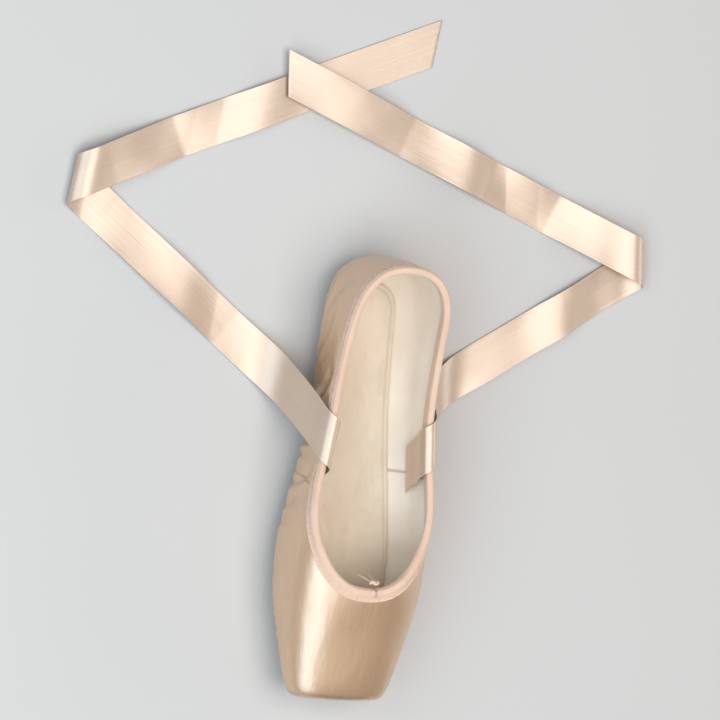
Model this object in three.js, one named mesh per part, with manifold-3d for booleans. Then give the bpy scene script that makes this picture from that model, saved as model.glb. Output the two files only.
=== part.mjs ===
// A pointe shoe with its ribbons, standing empty on its outsole.
// Millimetres. Stations run from the back of the heel (0) to the platform (LENGTH); the finished
// object has +X to the toe, +Y to the wearer's left, +Z up and its origin under its middle.
import * as THREE from 'three';
import Module from 'manifold-3d';

const LENGTH = 235;        // back of the heel to the platform
const WALL = 2.0;          // satin over lining, at the collar and round the heel
const BOX_WALL = 3.4;      // the hardened layers of the box
const BOX_STARTS = 150;    // station where the wall begins to thicken
const BOX_FULL = 190;      // station where it has its full thickness
const GAP = 0.3;           // air between pieces that are glued or sewn together
const SOLE_THICK = 2.8;    // outsole leather
const SOLE_OVERLAP = 6;    // outsole's lap over the turned-in edge of the upper
const INSOLE_THICK = 1.8;
const INSOLE_DISH = 2.2;   // how far its edge rises with the turn of the upper
const TAPE_THICK = 0.8;    // binding tape
const TAPE_DEPTH = 6;      // how far the tape comes down from the topline on each face
const RIBBON_WIDTH = 22;
const RIBBON_THICK = 0.6;
const RIBBON_LENGTH = 460;
const FLOOR_LIFT = 0.45;   // height of a ribbon's middle where it lies on the floor
const CORD_RADIUS = 0.6;   // drawstring

// The last. half: half width; under: height of the underside; widest: height where the section is
// widest; crown: height where the section would close; belly: how square the lower half is.
const LAST = [
  { x: 0, half: 28.0, under: 2.9, widest: 21.0, crown: 96.0, belly: 2.6 },
  { x: 30, half: 28.0, under: 2.9, widest: 21.0, crown: 98.0, belly: 2.6 },
  { x: 60, half: 28.4, under: 3.6, widest: 20.8, crown: 102.0, belly: 2.6 },
  { x: 95, half: 30.0, under: 5.0, widest: 20.4, crown: 100.0, belly: 2.6 },
  { x: 125, half: 35.4, under: 3.9, widest: 20.0, crown: 76.0, belly: 2.8 },
  { x: 150, half: 39.2, under: 2.9, widest: 20.0, crown: 58.0, belly: 3.0 },
  { x: 172, half: 39.6, under: 2.9, widest: 20.0, crown: 52.4, belly: 3.0 },
  { x: 190, half: 37.4, under: 3.4, widest: 20.4, crown: 47.4, belly: 2.8 },
  { x: 210, half: 33.0, under: 5.4, widest: 21.4, crown: 41.8, belly: 2.5 },
  { x: 225, half: 29.2, under: 7.9, widest: 22.2, crown: 37.9, belly: 2.4 },
  { x: 235, half: 26.8, under: 9.6, widest: 22.6, crown: 35.5, belly: 2.3 },
];
const SHOULDER = 2.3;      // how square the upper half of every section is
const HEEL_ROUND = 34;     // length over which the heel rounds off
const HEEL_POWER = 2.4;
const TOE_ROUND = 50;      // length over which the box closes on the platform
const TOE_POWER = 12;      // high, for a flat platform with a short rounded edge
const PLATFORM_LEAN = 0.08;  // platform set back for each millimetre of height
const PLATFORM_FOOT = 9.6; // height from which the lean counts

// Height of the topline in side view; ahead of the throat it is above the vamp and cuts nothing.
const TOPLINE = [
  { x: 0, z: 60.0 },
  { x: 15, z: 57.6 },
  { x: 40, z: 50.6 },
  { x: 70, z: 44.6 },
  { x: 96, z: 43.0 },
  { x: 125, z: 44.8 },
  { x: 150, z: 48.4 },
  { x: 172, z: 52.4 },
  { x: 200, z: 58.4 },
  { x: 235, z: 66.0 },
];

// Outsole outline before its ends are rounded off.
const SOLE = [
  { x: 8, half: 19.0 },
  { x: 32, half: 19.5 },
  { x: 60, half: 17.2 },
  { x: 92, half: 14.4 },
  { x: 112, half: 15.6 },
  { x: 136, half: 21.4 },
  { x: 160, half: 26.2 },
  { x: 178, half: 27.0 },
  { x: 207, half: 25.0 },
];
const SOLE_HEEL_ROUND = 20;  // length over which the sole's outline rounds off at the heel
const SOLE_TOE_ROUND = 44;   // and at the toe

// A ribbon in end view, from its sewn end inside the quarter, over the binding and down to the
// floor. out: distance outward from the topline's edge; z: height of the ribbon's middle.
const RIBBON_STATION = 96;
const RIBBON_DROP = [
  { out: -2.9, z: 18 },
  { out: -3.1, z: 24 },
  { out: -3.4, z: 32 },
  { out: -4.5, z: 38.5 },
  { out: -4.6, z: 42.8 },
  { out: -3.7, z: 45.0 },
  { out: -1.3, z: 46.0 },
  { out: 1.3, z: 45.3 },
  { out: 3.4, z: 42.8 },
  { out: 5.4, z: 36.5 },
  { out: 9, z: 27 },
  { out: 14.5, z: 16 },
  { out: 22, z: 6.4 },
  { out: 32, z: 1.6 },
  { out: 44, z: 0.5 },
];
// On the floor each ribbon runs outward, turns over in one soft fold and comes back.
const RIBBONS = [
  {
    name: 'ribbon_right',
    side: -1,
    slant: 30,
    run: [
      { out: 60, z: 0.5 }, { out: 78, z: 2.6 }, { out: 98, z: 0.9 }, { out: 118, z: 0.5 },
      { out: 136, z: 0.5 }, { out: 147, z: 1.2 }, { out: 152.5, z: 4.6 }, { out: 149, z: 8.3 },
      { out: 139, z: 8.2 }, { out: 125, z: 5.2 }, { out: 110, z: 1.8 }, { out: 96, z: 0.6 },
      { out: 78, z: 0.5 }, { out: 58, z: 2.8 }, { out: 38, z: 1.0 }, { out: 20, z: 0.5 },
      { out: 0, z: 0.5 }, { out: -20, z: 0.5 }, { out: -50, z: 0.5 },
    ],
  },
  {
    name: 'ribbon_left',
    side: 1,
    slant: 27,
    run: [
      { out: 58, z: 0.5 }, { out: 76, z: 1.0 }, { out: 94, z: 3.4 }, { out: 112, z: 0.9 },
      { out: 126, z: 0.5 }, { out: 135, z: 1.0 }, { out: 141, z: 4.4 }, { out: 138, z: 8.0 },
      { out: 128, z: 8.2 }, { out: 113, z: 5.6 }, { out: 98, z: 2.0 }, { out: 82, z: 0.6 },
      { out: 60, z: 0.5 }, { out: 40, z: 3.6 }, { out: 22, z: 1.4 }, { out: 5, z: 1.2 },
      { out: -12, z: 3.0 }, { out: -30, z: 4.0 }, { out: -48, z: 4.2 }, { out: -80, z: 4.2 },
    ],
  },
];
const RIBBON_STEPS = 60;
const RIBBON_CROSS = 2;    // strips across a ribbon's width

// Drawstring knot, just behind the binding at the throat, and its two hanging ends.
const KNOT = { x: 167.6, y: 2.4, z: 50.6, long: 3.0, wide: 2.0, high: 1.7 };
const CORD_ENDS = [
  { y: 3.6, fall: 15 },
  { y: 1.0, fall: 12 },
];

// Profile planes fan round these two stations and stand square to the centre line between them.
const TOE_FAN = 140;
const HEEL_FAN = 34;
const HALF_COLUMNS = 38;   // planes from the toe's centre to the heel's centre, on one side
const OUTER_ROWS = 20;
const INNER_ROWS = 14;

// Natural cubic spline through the rows' x and the named column.
function spline(rows, key) {
  const n = rows.length;
  const x = rows.map((row) => row.x);
  const y = rows.map((row) => row[key]);
  const bend = new Array(n).fill(0);
  const load = new Array(n).fill(0);
  const tie = new Array(n).fill(0);
  for (let i = 1; i < n - 1; i += 1) {
    const before = x[i] - x[i - 1];
    const after = x[i + 1] - x[i];
    const kink = (y[i + 1] - y[i]) / after - (y[i] - y[i - 1]) / before;
    const pivot = 2 * (before + after) - before * tie[i - 1];
    tie[i] = after / pivot;
    load[i] = (6 * kink - before * load[i - 1]) / pivot;
  }
  for (let i = n - 2; i > 0; i -= 1) {
    bend[i] = load[i] - tie[i] * bend[i + 1];
  }
  return (at) => {
    const s = Math.min(Math.max(at, x[0]), x[n - 1]);
    let i = 0;
    while (i < n - 2 && s > x[i + 1]) i += 1;
    const h = x[i + 1] - x[i];
    const a = (x[i + 1] - s) / h;
    const b = (s - x[i]) / h;
    const curve = ((a ** 3 - a) * bend[i] + (b ** 3 - b) * bend[i + 1]) * h * h / 6;
    return a * y[i] + b * y[i + 1] + curve;
  };
}

const half = spline(LAST, 'half');
const under = spline(LAST, 'under');
const widest = spline(LAST, 'widest');
const crown = spline(LAST, 'crown');
const belly = spline(LAST, 'belly');
const topline = spline(TOPLINE, 'z');
const soleHalf = spline(SOLE, 'half');

function smoothstep(low, high, value) {
  const t = Math.min(Math.max((value - low) / (high - low), 0), 1);
  return t * t * (3 - 2 * t);
}

function wallAt(x) {
  return WALL + (BOX_WALL - WALL) * smoothstep(BOX_STARTS, BOX_FULL, x);
}

// Below 1 inside the last, 1 on its surface and above 1 outside.
function fullness(x, y, z) {
  const middle = widest(x);
  const above = z > middle;
  const power = above ? SHOULDER : belly(x);
  const side = Math.abs(y) / half(x);
  const reach = above ? crown(x) - middle : middle - under(x);
  const ring = (side ** power + (Math.abs(z - middle) / reach) ** power) ** (1 / power);
  const back = Math.max(0, (HEEL_ROUND - x) / HEEL_ROUND);
  const lean = PLATFORM_LEAN * (z - PLATFORM_FOOT);
  const front = Math.max(0, (x - LENGTH + TOE_ROUND) / (TOE_ROUND - lean));
  const k = back > 0 ? HEEL_POWER : TOE_POWER;
  return (ring ** k + back ** k + front ** k) ** (1 / k);
}

// How fast fullness grows around p, for each millimetre along the three axes.
function slope(p) {
  const e = 0.01;
  const growth = new THREE.Vector3(
    fullness(p.x + e, p.y, p.z) - fullness(p.x - e, p.y, p.z),
    fullness(p.x, p.y + e, p.z) - fullness(p.x, p.y - e, p.z),
    fullness(p.x, p.y, p.z + e) - fullness(p.x, p.y, p.z - e),
  );
  return growth.divideScalar(2 * e);
}

// Unit vector out of the last's surface at p.
function outward(p) {
  return slope(p).normalize();
}

// How deep p lies inside the last.
function depth(p) {
  return (1 - fullness(p.x, p.y, p.z)) / slope(p).length();
}

// Largest value in [low, high] for which the test still holds.
function lastTrue(low, high, test) {
  let a = low;
  let b = high;
  for (let i = 0; i < 44; i += 1) {
    const m = (a + b) / 2;
    if (test(m)) a = m;
    else b = m;
  }
  return (a + b) / 2;
}

// Height of the last's underside over a point of the plan.
function underside(x, y) {
  const middle = widest(x);
  const drop = lastTrue(0, middle + 5, (d) => fullness(x, y, middle - d) < 1);
  return middle - drop;
}

// Inside the outsole's outline, drawn in by inset.
function onSole(x, y, inset) {
  const back = SOLE[0].x + inset;
  const front = SOLE[SOLE.length - 1].x - inset;
  if (x <= back || x >= front) return false;
  const heel = Math.max(0, 1 - (x - back) / SOLE_HEEL_ROUND);
  const toe = Math.max(0, 1 - (front - x) / SOLE_TOE_ROUND);
  const close = Math.sqrt(1 - heel ** 2) * Math.sqrt(1 - toe ** 2.2);
  return Math.abs(y) < (soleHalf(x) - inset) * close;
}

// A profile plane: its foot on the centre line and its direction in plan.
// way runs 0 to 1 round the toe, 1 to 2 along the side and 2 to 3 round the heel.
function plane(way) {
  let foot = TOE_FAN;
  let angle = way * Math.PI / 2;
  if (way > 2) {
    foot = HEEL_FAN;
    angle = (way - 1) * Math.PI / 2;
  } else if (way > 1) {
    foot = TOE_FAN + (HEEL_FAN - TOE_FAN) * (way - 1);
    angle = Math.PI / 2;
  }
  return { foot, c: Math.cos(angle), s: Math.sin(angle), hub: widest(foot) };
}

function inPlane(pl, r, z) {
  return new THREE.Vector3(pl.foot + r * pl.c, r * pl.s, z);
}

// Point of the last's surface seen from the plane's hub at a slope angle.
function seen(pl, tilt) {
  const c = Math.cos(tilt);
  const s = Math.sin(tilt);
  const far = lastTrue(0, 220, (d) => {
    const p = inPlane(pl, d * c, pl.hub + d * s);
    return fullness(p.x, p.y, p.z) < 1;
  });
  return inPlane(pl, far * c, pl.hub + far * s);
}

// Resample a polyline, with points closer together where it turns.
function spread(points, steps, turnWeight) {
  const mark = [0];
  for (let i = 1; i < points.length; i += 1) {
    const ahead = points[i].clone().sub(points[i - 1]);
    let turn = 0;
    if (i < points.length - 1) {
      turn = ahead.angleTo(points[i + 1].clone().sub(points[i]));
    }
    mark.push(mark[i - 1] + ahead.length() + turnWeight * turn);
  }
  const picked = [];
  let i = 1;
  for (let k = 0; k <= steps; k += 1) {
    const want = mark[mark.length - 1] * k / steps;
    while (i < points.length - 1 && mark[i] < want) i += 1;
    const t = (want - mark[i - 1]) / (mark[i] - mark[i - 1]);
    picked.push(points[i - 1].clone().lerp(points[i], Math.min(Math.max(t, 0), 1)));
  }
  return picked;
}

// Dense line of the last's surface in a plane, from the sole opening up to the topline.
function profile(pl) {
  const rim = lastTrue(0, 120, (r) => {
    const p = inPlane(pl, r, 0);
    return onSole(p.x, p.y, SOLE_OVERLAP);
  });
  const start = inPlane(pl, rim, 0);
  const low = Math.atan2(underside(start.x, start.y) - pl.hub, rim);
  const high = lastTrue(0, 1.5, (tilt) => {
    const p = seen(pl, tilt);
    return p.z < topline(p.x);
  });
  const line = [];
  for (let i = 0; i <= 160; i += 1) {
    line.push(seen(pl, low + (high - low) * i / 160));
  }
  return line;
}

// Planes spaced evenly in a mix of the way walked round the outline and the angle turned.
function choosePlanes() {
  const outline = [];
  for (let i = 0; i <= 600; i += 1) {
    outline.push(seen(plane(3 * i / 600), 0));
  }
  const stops = spread(outline, HALF_COLUMNS, 26);
  return stops.map((p, k) => {
    if (k === 0) return plane(0);
    if (k === HALF_COLUMNS) return plane(3);
    if (p.x > TOE_FAN) return plane(Math.atan2(p.y, p.x - TOE_FAN) / (Math.PI / 2));
    if (p.x > HEEL_FAN) return plane(1 + (TOE_FAN - p.x) / (TOE_FAN - HEEL_FAN));
    return plane(1 + Math.atan2(p.y, p.x - HEEL_FAN) / (Math.PI / 2));
  });
}

const planes = choosePlanes();
const profiles = planes.map(profile);

// Both sides of the shoe from the sections of one side.
function bothSides(sections) {
  const other = sections.slice(1, -1).reverse();
  const mirrored = other.map((section) => section.map((p) => new THREE.Vector3(p.x, -p.y, p.z)));
  return [...sections, ...mirrored];
}

// A closed body through a row of sections. ring joins each section's end to its start, loop joins
// the last section to the first, and caps close the two end sections.
function body(name, look, sections, { ring = true, loop = true, caps = false } = {}) {
  const places = [];
  const found = new Map();
  const index = (p) => {
    const key = `${p.x.toFixed(3)},${p.y.toFixed(3)},${p.z.toFixed(3)}`;
    if (!found.has(key)) {
      found.set(key, places.length / 3);
      places.push(p.x - LENGTH / 2, p.y, p.z);
    }
    return found.get(key);
  };
  const grid = sections.map((section) => section.map(index));
  const faces = [];
  const face = (a, b, c) => {
    if (a !== b && b !== c && c !== a) faces.push(a, b, c);
  };
  const apart = (a, b) => Math.hypot(
    places[3 * a] - places[3 * b],
    places[3 * a + 1] - places[3 * b + 1],
    places[3 * a + 2] - places[3 * b + 2],
  );
  const count = grid[0].length;
  for (let i = 0; i < grid.length - (loop ? 0 : 1); i += 1) {
    const here = grid[i];
    const next = grid[(i + 1) % grid.length];
    for (let j = 0; j < count - (ring ? 0 : 1); j += 1) {
      const k = (j + 1) % count;
      if (apart(here[j], next[k]) <= apart(here[k], next[j])) {
        face(here[j], next[j], next[k]);
        face(here[j], next[k], here[k]);
      } else {
        face(here[j], next[j], here[k]);
        face(next[j], next[k], here[k]);
      }
    }
  }
  if (caps) {
    const first = grid[0];
    const last = grid[grid.length - 1];
    const pairs = count / 2 - 1;
    for (let j = 0; j < pairs; j += 1) {
      const k = count - 1 - j;
      face(first[j], first[j + 1], first[k]);
      face(first[j + 1], first[k - 1], first[k]);
      face(last[j], last[k], last[j + 1]);
      face(last[j + 1], last[k], last[k - 1]);
    }
  }
  let volume = 0;
  const corner = (n) => new THREE.Vector3().fromArray(places, 3 * faces[n]);
  for (let n = 0; n < faces.length; n += 3) {
    volume += corner(n).dot(corner(n + 1).cross(corner(n + 2)));
  }
  if (volume < 0) faces.reverse();
  const geometry = new THREE.BufferGeometry();
  geometry.setAttribute('position', new THREE.Float32BufferAttribute(places, 3));
  geometry.setIndex(faces);
  geometry.computeVertexNormals();
  const mesh = new THREE.Mesh(geometry, new THREE.MeshStandardMaterial(look));
  mesh.name = name;
  return mesh;
}

const SATIN = { color: 0xdfbd94, roughness: 0.32, metalness: 0 };
const RIBBON_SATIN = { color: 0xe3cbb4, roughness: 0.34, metalness: 0 };
const TAPE = { color: 0xebcdb9, roughness: 0.75, metalness: 0 };
const LEATHER = { color: 0xc99c68, roughness: 0.8, metalness: 0 };
const SOCK = { color: 0xe6dccb, roughness: 0.85, metalness: 0 };
const CORD = { color: 0xe6c6b0, roughness: 0.7, metalness: 0 };

// Upper: quarters, vamp and box as one hollow wall, open at the collar and under the foot.
function buildUpper() {
  const sections = profiles.map((line) => {
    const outside = spread(line, OUTER_ROWS, 14);
    const inside = spread(line, INNER_ROWS, 14).map((p) => {
      return p.clone().addScaledVector(outward(p), -wallAt(p.x));
    });
    return [...outside, ...inside.reverse()];
  });
  return body('upper', SATIN, bothSides(sections));
}

// Outsole: leather that follows the underside and lies flat under heel and ball.
function buildOutsole() {
  const bevel = 0.7;
  const sections = planes.map((pl) => {
    const rim = lastTrue(0, 120, (r) => {
      const p = inPlane(pl, r, 0);
      return onSole(p.x, p.y, 0);
    });
    const top = (r) => {
      const p = inPlane(pl, r, 0);
      p.z = underside(p.x, p.y) - GAP - 0.1;
      return p;
    };
    const bottom = (r) => {
      const p = top(r);
      p.z = Math.max(0, p.z - SOLE_THICK);
      return p;
    };
    const edge = bottom(rim);
    edge.z += bevel;
    return [
      ...[0, 0.38, 0.62, 0.82, 1].map((part) => top(rim * part)),
      edge,
      bottom(rim - bevel),
      ...[0.72, 0.44, 0].map((part) => bottom(rim * part)),
    ];
  });
  return body('outsole', LEATHER, bothSides(sections), { ring: false });
}

// Insole: lies on the inside of the turned-in edge and bridges the sole opening.
function buildInsole() {
  const lift = (p) => underside(p.x, p.y) + wallAt(p.x) * 1.08 + GAP + 0.2;
  const sections = planes.map((pl) => {
    const rim = lastTrue(5, 120, (r) => {
      const p = inPlane(pl, r, 0);
      if (fullness(p.x, p.y, widest(p.x)) > 0.95) return false;
      if (underside(p.x, p.y) > under(p.x) + INSOLE_DISH) return false;
      p.z = lift(p) + INSOLE_THICK;
      return depth(p) > wallAt(p.x) + 0.9;
    });
    const place = (r, rise) => {
      const p = inPlane(pl, r, 0);
      p.z = lift(p) + rise;
      return p;
    };
    return [
      ...[0, 0.5, 0.8, 1].map((part) => place(rim * part, INSOLE_THICK)),
      ...[1, 0.9, 0.78, 0.6, 0.35, 0].map((part) => place(rim * part, 0)),
    ];
  });
  return body('insole', SOCK, bothSides(sections), { ring: false });
}

// A point near the topline of a profile: down along the wall, or up past its rim when down is
// negative, and out from its outer face.
function nearRim(line, down, out) {
  const end = line[line.length - 1];
  if (down <= 0) {
    const up = end.clone().sub(line[line.length - 2]).normalize();
    return end.clone().addScaledVector(up, -down).addScaledVector(outward(end), out);
  }
  let left = down;
  let i = line.length - 1;
  while (i > 1 && line[i].distanceTo(line[i - 1]) < left) {
    left -= line[i].distanceTo(line[i - 1]);
    i -= 1;
  }
  const p = line[i].clone().lerp(line[i - 1], left / line[i].distanceTo(line[i - 1]));
  return p.addScaledVector(outward(p), out);
}

// Binding: a tape folded over the topline, the drawstring's casing.
function buildBinding() {
  const sections = profiles.map((line) => {
    const wall = wallAt(line[line.length - 1].x);
    const near = GAP + 0.15;
    const far = near + TAPE_THICK;
    const round = 0.6 * TAPE_THICK;
    return [
      nearRim(line, TAPE_DEPTH, far),
      nearRim(line, TAPE_DEPTH / 2, far + 0.15),
      nearRim(line, 0, far),
      nearRim(line, -far + round, far - round * 0.4),
      nearRim(line, -far, near - round),
      nearRim(line, -far, -wall - near + round),
      nearRim(line, -far + round, -wall - far + round * 0.4),
      nearRim(line, 0, -wall - far),
      nearRim(line, TAPE_DEPTH, -wall - far),
      nearRim(line, TAPE_DEPTH, -wall - near),
      nearRim(line, 0, -wall - near),
      nearRim(line, -near, -wall - near),
      nearRim(line, -near, near),
      nearRim(line, 0, near),
      nearRim(line, TAPE_DEPTH, near),
    ];
  });
  return body('binding', TAPE, bothSides(sections));
}

// A ribbon: a strip whose straight rulings all run along the quarter's wall, so that its end view
// is one bent line, crossed at a slant.
function buildRibbon({ name, side, slant, run }) {
  const stand = (x) => {
    const line = profile(plane(1 + (TOE_FAN - x) / (TOE_FAN - HEEL_FAN)));
    return line[line.length - 1];
  };
  const edge = stand(RIBBON_STATION);
  const along = stand(RIBBON_STATION + 6).sub(stand(RIBBON_STATION - 6)).setZ(0).normalize();
  const across = new THREE.Vector3(-along.y, along.x, 0);
  const bends = [...RIBBON_DROP, ...run];
  let walked = 0;
  const rows = bends.map((row, i) => {
    if (i) walked += Math.hypot(row.out - bends[i - 1].out, row.z - bends[i - 1].z);
    return { ...row, x: walked };
  });
  const out = spline(rows, 'out');
  const rise = spline(rows, 'z');
  const tan = Math.tan(slant * Math.PI / 180);
  const cos = Math.cos(slant * Math.PI / 180);
  const path = [];
  let length = 0;
  for (let at = 0; at < walked && length / cos < RIBBON_LENGTH; at += 0.25) {
    const p = new THREE.Vector3(out(at), Math.max(rise(at), FLOOR_LIFT), 0);
    const last = path[path.length - 1];
    if (last) length += Math.hypot(p.x - last.x, p.y - last.y);
    p.z = -length * tan;
    path.push(p);
  }
  const top = path.reduce((best, p) => (p.y > best.y ? p : best)).z;
  const stops = spread(path, RIBBON_STEPS, 10);
  const sections = stops.map((p, i) => {
    const before = stops[Math.max(i - 1, 0)];
    const after = stops[Math.min(i + 1, RIBBON_STEPS)];
    const ahead = after.clone().sub(before).setZ(0).normalize();
    const up = new THREE.Vector3(-ahead.y, ahead.x, 0).multiplyScalar(RIBBON_THICK / 2);
    const place = (part, face) => {
      const q = p.clone().addScaledVector(up, face);
      const slide = p.z - top + (part - 0.5) * RIBBON_WIDTH / cos;
      const at = edge.clone().setZ(q.y);
      at.addScaledVector(along, slide).addScaledVector(across, q.x);
      at.y *= side;
      return at;
    };
    const parts = [...Array(RIBBON_CROSS + 1).keys()].map((k) => k / RIBBON_CROSS);
    return [
      ...parts.map((part) => place(part, 1)),
      ...parts.reverse().map((part) => place(part, -1)),
    ];
  });
  return body(name, RIBBON_SATIN, sections, { loop: false, caps: true });
}

// The drawstring's knot with its two ends, joined in one body.
async function buildDrawstring() {
  const wasm = await Module();
  wasm.setup();
  const solid = (sections, options) => {
    const { geometry } = body('piece', CORD, sections, options);
    return new wasm.Manifold(new wasm.Mesh({
      numProp: 3,
      vertProperties: new Float32Array(geometry.getAttribute('position').array),
      triVerts: new Uint32Array(geometry.getIndex().array),
    }));
  };
  const turn = (k, n) => 2 * Math.PI * k / n;
  const knotRings = [...Array(9).keys()].map((i) => {
    const fall = Math.PI * i / 8;
    return [...Array(12).keys()].map((k) => new THREE.Vector3(
      KNOT.x + KNOT.wide * Math.sin(fall) * Math.cos(turn(k, 12)),
      KNOT.y + KNOT.long * Math.cos(fall),
      KNOT.z + KNOT.high * Math.sin(fall) * Math.sin(turn(k, 12)),
    ));
  });
  let knot = solid(knotRings, { loop: false });
  CORD_ENDS.forEach(({ y, fall }) => {
    const rings = [...Array(7).keys()].map((i) => {
      const t = i / 6;
      return [...Array(8).keys()].map((k) => new THREE.Vector3(
        KNOT.x - 1.6 * t + CORD_RADIUS * Math.cos(turn(k, 8)),
        y + 2.4 * t * t * Math.sign(y - KNOT.y) + CORD_RADIUS * Math.sin(turn(k, 8)),
        KNOT.z - fall * t,
      ));
    });
    knot = knot.add(solid(rings, { loop: false, caps: true }));
  });
  const mesh = knot.getMesh();
  const geometry = new THREE.BufferGeometry();
  geometry.setAttribute('position', new THREE.Float32BufferAttribute(mesh.vertProperties, 3));
  geometry.setIndex(Array.from(mesh.triVerts));
  geometry.computeVertexNormals();
  const cord = new THREE.Mesh(geometry, new THREE.MeshStandardMaterial(CORD));
  cord.name = 'drawstring';
  return cord;
}

const shoe = new THREE.Group();
shoe.name = 'pointe_shoe';
shoe.add(buildUpper());
shoe.add(buildOutsole());
shoe.add(buildInsole());
shoe.add(buildBinding());
shoe.add(await buildDrawstring());
RIBBONS.forEach((ribbon) => shoe.add(buildRibbon(ribbon)));
export default shoe;
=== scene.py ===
"""Looks of a satin pointe shoe with its ribbons, standing empty on the floor.

Lengths in the tables are millimetres. Stations run from the back of the heel (0) to the platform.
"""
import math

import bmesh
import bpy
import numpy as np
from mathutils import Matrix, Vector


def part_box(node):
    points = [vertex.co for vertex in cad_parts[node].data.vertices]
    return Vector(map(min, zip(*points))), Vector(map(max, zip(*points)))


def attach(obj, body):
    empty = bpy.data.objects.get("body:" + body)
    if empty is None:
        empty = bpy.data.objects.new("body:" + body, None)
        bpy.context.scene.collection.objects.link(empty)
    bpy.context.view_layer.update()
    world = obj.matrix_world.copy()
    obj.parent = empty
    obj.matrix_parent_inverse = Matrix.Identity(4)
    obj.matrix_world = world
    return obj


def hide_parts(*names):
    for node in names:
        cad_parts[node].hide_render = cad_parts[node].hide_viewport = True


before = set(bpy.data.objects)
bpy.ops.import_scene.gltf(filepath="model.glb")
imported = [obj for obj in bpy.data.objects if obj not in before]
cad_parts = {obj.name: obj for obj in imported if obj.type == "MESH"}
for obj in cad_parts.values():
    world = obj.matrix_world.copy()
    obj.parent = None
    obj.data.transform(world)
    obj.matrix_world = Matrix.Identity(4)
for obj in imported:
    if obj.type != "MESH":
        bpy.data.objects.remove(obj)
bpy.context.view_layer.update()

MM = 0.001
HEEL_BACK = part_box("upper")[0].x / MM   # where station 0 is in the frame, in millimetres
LENGTH = 235.0

WALL = 2.0
BOX_WALL = 3.4
BOX_STARTS = 150.0
BOX_FULL = 190.0
GAP = 0.3
SOLE_THICK = 2.8
SOLE_GAP = GAP + 0.05      # over the outsole, under the wall
SOLE_OVERLAP = 6.0
INSOLE_THICK = 1.8
INSOLE_DISH = 2.2
INSOLE_GAP = GAP + 0.2     # under the sock, over the wall
TAPE_NEAR = GAP - 0.12     # from the wall to the tape's hidden face
TAPE_FAR = GAP + 0.45      # from the wall to the tape's outer face
TAPE_JOIN = 3.4            # where the tape's ends meet, along the topline from the throat
TAPE_SWELL = 0.62          # how far it stands out over the drawstring
TAPE_NIP = 0.25            # how far its stitching draws it in
TAPE_STITCH_DROP = 4.9     # from the topline down to that stitching
TAPE_STITCH_PITCH = 2.6
TACK_DROP = 8.0            # from the topline down to the tacks
SATIN_LOWEST = 0.8         # above the floor
RIBBON_WIDTH = 22.0
RIBBON_LENGTH = 460.0
RIBBON_HALF = 0.17         # half of the finished ribbon's own thickness
FLOOR_LIFT = 0.45          # the lowest that the ribbon's middle lies

LAST_COLUMNS = ("station", "half", "under", "widest", "crown", "belly")
LAST = (
    (0, 28.0, 2.9, 21.0, 96.0, 2.6),
    (30, 28.0, 2.9, 21.0, 98.0, 2.6),
    (60, 28.4, 3.6, 20.8, 102.0, 2.6),
    (95, 30.0, 5.0, 20.4, 100.0, 2.6),
    (125, 35.4, 3.9, 20.0, 76.0, 2.8),
    (150, 39.2, 2.9, 20.0, 58.0, 3.0),
    (172, 39.6, 2.9, 20.0, 52.4, 3.0),
    (190, 37.4, 3.4, 20.4, 47.4, 2.8),
    (210, 33.0, 5.4, 21.4, 41.8, 2.5),
    (225, 29.2, 7.9, 22.2, 37.9, 2.4),
    (235, 26.8, 9.6, 22.6, 35.5, 2.3),
)
SHOULDER = 2.3             # power of the section's upper half
HEEL_ROUND = 34.0
HEEL_POWER = 2.4
TOE_ROUND = 50.0
TOE_POWER = 12.0
PLATFORM_LEAN = 0.08
PLATFORM_FOOT = 9.6

TOPLINE_COLUMNS = ("station", "height")
TOPLINE = (
    (0, 60.0), (15, 57.6), (40, 50.6), (70, 44.6), (96, 43.0), (125, 44.8), (150, 48.4),
    (172, 52.4), (200, 58.4), (235, 66.0),
)
SOLE_COLUMNS = ("station", "half")
SOLE = (
    (8, 19.0), (32, 19.5), (60, 17.2), (92, 14.4), (112, 15.6), (136, 21.4), (160, 26.2),
    (178, 27.0), (207, 25.0),
)
SOLE_EDGE_COLUMNS = ("inset", "rise")   # the skived edge and the groove inside it
SOLE_EDGE = (
    (0.0, 1.25), (0.05, 0.75), (0.25, 0.38), (0.6, 0.15), (1.1, 0.04), (1.8, 0.0), (2.6, 0.0),
    (3.0, 0.22), (3.4, 0.0), (4.2, 0.0),
)
SOLE_HEEL_ROUND = 20.0
SOLE_TOE_ROUND = 44.0
TOE_FAN = 140.0
HEEL_FAN = 34.0

# In the frame.
SIDE_SEAM = -4.0 * MM     # where the side seam would meet the floor
SIDE_SEAM_LEAN = 0.16     # how far it leans forward for each millimetre of height
BACK_SEAM_END = -100.0 * MM   # the back seam lies behind this
RIM_FROM = 112.2 * MM     # where the platform's worn rim starts; its darkening is partly painted shade of the platform's edge
RIM_FADE = 1.6 * MM       # and how far on it is fully dark
RIM_MIDDLE, RIM_HALF, RIM_HIGH = 22.6 * MM, 25.0 * MM, 12.0 * MM   # the platform's ellipse

KNOT = (167.6, 2.4, 50.6)               # the knot's middle
CORD_RADIUS = 0.6
CORD_ENDS_COLUMNS = ("aside", "fall")   # from the knot's middle
CORD_ENDS = ((1.2, 15.0), (-1.4, 12.0))

RIBBON_STATION = 96.0                   # where the ribbons are sewn
RIBBON_COLUMNS = ("out", "up")          # from the topline's edge, and from the floor
RIBBON_DROP = (                         # from inside the quarter over the topline to the floor
    (-2.9, 18), (-3.1, 24), (-3.4, 32), (-4.5, 38.5), (-4.6, 42.8), (-3.7, 45.0), (-1.3, 46.0),
    (1.3, 45.3), (3.4, 42.8), (5.4, 36.5), (9, 27), (14.5, 16), (22, 6.4), (32, 1.6), (44, 0.5),
)
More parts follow.
